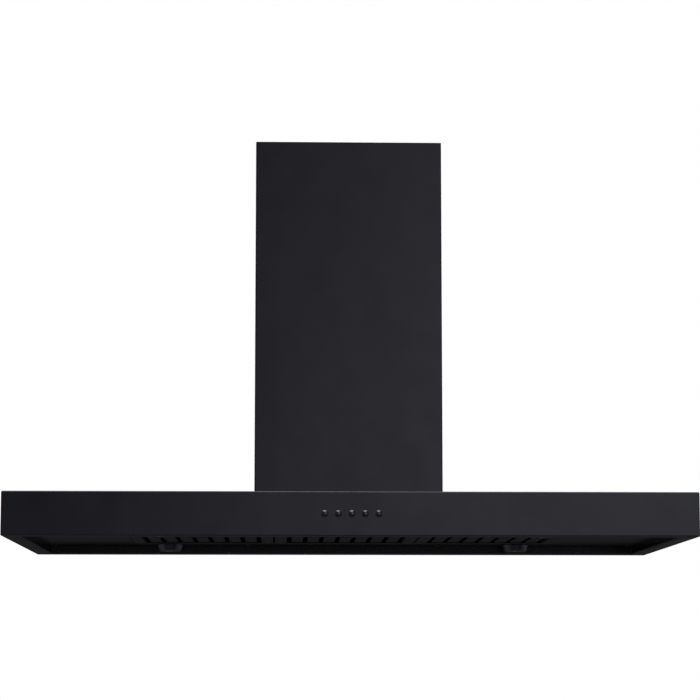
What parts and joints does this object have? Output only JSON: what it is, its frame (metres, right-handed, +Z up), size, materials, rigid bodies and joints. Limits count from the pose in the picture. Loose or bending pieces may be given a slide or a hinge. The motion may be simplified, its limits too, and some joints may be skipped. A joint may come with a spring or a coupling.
{
  "type": "island range hood",
  "caption": "Island range hood: a wide, shallow box canopy with baffle filters, spot lamps and push buttons, under a straight rectangular telescopic chimney.",
  "frame": {"origin": "centre of the canopy's lowest face, the rim of its underside", "axes": "+X along the canopy's width, to the right of someone facing the buttons; +Y from the button face to the back; +Z up along the chimney"},
  "size_m": [1.2, 0.6516, 0.73],
  "materials": {
    "black_enamel": "satin black powder coat",
    "black_steel": "black coated steel",
    "black_plastic": "moulded, matte",
    "button_plastic": "moulded, satin",
    "satin_steel": "satin",
    "zinc_sheet": "zinc coated",
    "motor_metal": "die cast",
    "frosted_glass": "frosted",
    "black_rubber": "smooth"
  },
  "bodies": {
    "canopy": {"base_frame": "zinc_sheet", "blower_housing": "black_plastic", "blower_rail_left": "zinc_sheet", "blower_rail_right": "zinc_sheet", "brace_front": "zinc_sheet", "brace_rear": "zinc_sheet", "cable_gland": "black_plastic", "canopy_shell": "black_enamel", "control_box": "black_plastic", "control_box_lid": "black_plastic", "inlet_ring_left": "black_plastic", "inlet_ring_right": "black_plastic", "lamp_bezel_front_left": "satin_steel", "lamp_bezel_front_right": "satin_steel", "lamp_bezel_rear_left": "satin_steel", "lamp_bezel_rear_right": "satin_steel", "lamp_can_front_left": "zinc_sheet", "lamp_can_front_right": "zinc_sheet", "lamp_can_rear_left": "zinc_sheet", "lamp_can_rear_right": "zinc_sheet", "lamp_lens_front_left": "frosted_glass", "lamp_lens_front_right": "frosted_glass", "lamp_lens_rear_left": "frosted_glass", "lamp_lens_rear_right": "frosted_glass", "lower_chimney": "black_enamel", "lower_post_front_left": "zinc_sheet", "lower_post_front_right": "zinc_sheet", "lower_post_rear_left": "zinc_sheet", "lower_post_rear_right": "zinc_sheet", "motor": "motor_metal", "motor_bracket": "zinc_sheet", "motor_lead": "black_rubber", "outlet_collar": "zinc_sheet", "switch_housing": "black_plastic", "switch_lead": "black_rubber", "underside_panel": "black_enamel"},
    "ceiling_frame": {"ceiling_plate": "zinc_sheet", "upper_post_front_left": "zinc_sheet", "upper_post_front_right": "zinc_sheet", "upper_post_rear_left": "zinc_sheet", "upper_post_rear_right": "zinc_sheet"},
    "upper_chimney": {"upper_chimney": "black_enamel"},
    "rotor": {"impeller": "zinc_sheet", "motor_shaft": "satin_steel"},
    "damper_front": {"damper_flap_front": "zinc_sheet"},
    "damper_rear": {"damper_flap_rear": "zinc_sheet"},
    "button_1": {"button_1": "button_plastic"},
    "button_2": {"button_2": "button_plastic"},
    "button_3": {"button_3": "button_plastic"},
    "button_4": {"button_4": "button_plastic"},
    "button_5": {"button_5": "button_plastic"},
    "filter_left": {"filter_frame_left": "black_steel", "filter_baffles_left": "black_steel"},
    "latch_left": {"filter_latch_left": "black_plastic"},
    "filter_centre": {"filter_frame_centre": "black_steel", "filter_baffles_centre": "black_steel"},
    "latch_centre": {"filter_latch_centre": "black_plastic"},
    "filter_right": {"filter_frame_right": "black_steel", "filter_baffles_right": "black_steel"},
    "latch_right": {"filter_latch_right": "black_plastic"}
  },
  "joints": [
    {"name": "frame_extension", "type": "slide", "parent": "canopy", "child": "ceiling_frame", "axis": [0, 0, 1], "range_m": [0, 0.3]},
    {"name": "chimney_extension", "type": "slide", "parent": "canopy", "child": "upper_chimney", "axis": [0, 0, 1], "range_m": [0, 0.3]},
    {"name": "blower_spin", "type": "hinge", "parent": "canopy", "child": "rotor", "pos_m": [0, -0.03653, 0.1929], "axis": [1, 0, 0], "continuous": true},
    {"name": "damper_front_swing", "type": "hinge", "parent": "canopy", "child": "damper_front", "pos_m": [0, -0.0045, 0.35273], "axis": [-1, 0, 0], "range_deg": [0, 80]},
    {"name": "damper_rear_swing", "type": "hinge", "parent": "canopy", "child": "damper_rear", "pos_m": [0, 0.0045, 0.35273], "axis": [1, 0, 0], "range_deg": [0, 80]},
    {"name": "button_1_press", "type": "slide", "parent": "canopy", "child": "button_1", "axis": [0, 1, 0], "range_m": [0, 0.0025], "stiffness_N_per_m": 400, "springref_m": -0.001},
    {"name": "button_2_press", "type": "slide", "parent": "canopy", "child": "button_2", "axis": [0, 1, 0], "range_m": [0, 0.0025], "stiffness_N_per_m": 400, "springref_m": -0.001},
    {"name": "button_3_press", "type": "slide", "parent": "canopy", "child": "button_3", "axis": [0, 1, 0], "range_m": [0, 0.0025], "stiffness_N_per_m": 400, "springref_m": -0.001},
    {"name": "button_4_press", "type": "slide", "parent": "canopy", "child": "button_4", "axis": [0, 1, 0], "range_m": [0, 0.0025], "stiffness_N_per_m": 400, "springref_m": -0.001},
    {"name": "button_5_press", "type": "slide", "parent": "canopy", "child": "button_5", "axis": [0, 1, 0], "range_m": [0, 0.0025], "stiffness_N_per_m": 400, "springref_m": -0.001},
    {"name": "filter_left_drop", "type": "hinge", "parent": "canopy", "child": "filter_left", "pos_m": [-0.26737, 0.193, 0.0175], "axis": [1, 0, 0], "range_deg": [0, 50]},
    {"name": "latch_left_pull", "type": "slide", "parent": "filter_left", "child": "latch_left", "axis": [0, 1, 0], "range_m": [0, 0.0075], "stiffness_N_per_m": 300, "springref_m": -0.002},
    {"name": "filter_centre_drop", "type": "hinge", "parent": "canopy", "child": "filter_centre", "pos_m": [0, 0.193, 0.0175], "axis": [1, 0, 0], "range_deg": [0, 50]},
    {"name": "latch_centre_pull", "type": "slide", "parent": "filter_centre", "child": "latch_centre", "axis": [0, 1, 0], "range_m": [0, 0.0075], "stiffness_N_per_m": 300, "springref_m": -0.002},
    {"name": "filter_right_drop", "type": "hinge", "parent": "canopy", "child": "filter_right", "pos_m": [0.26737, 0.193, 0.0175], "axis": [1, 0, 0], "range_deg": [0, 50]},
    {"name": "latch_right_pull", "type": "slide", "parent": "filter_right", "child": "latch_right", "axis": [0, 1, 0], "range_m": [0, 0.0075], "stiffness_N_per_m": 300, "springref_m": -0.002}
  ]
}
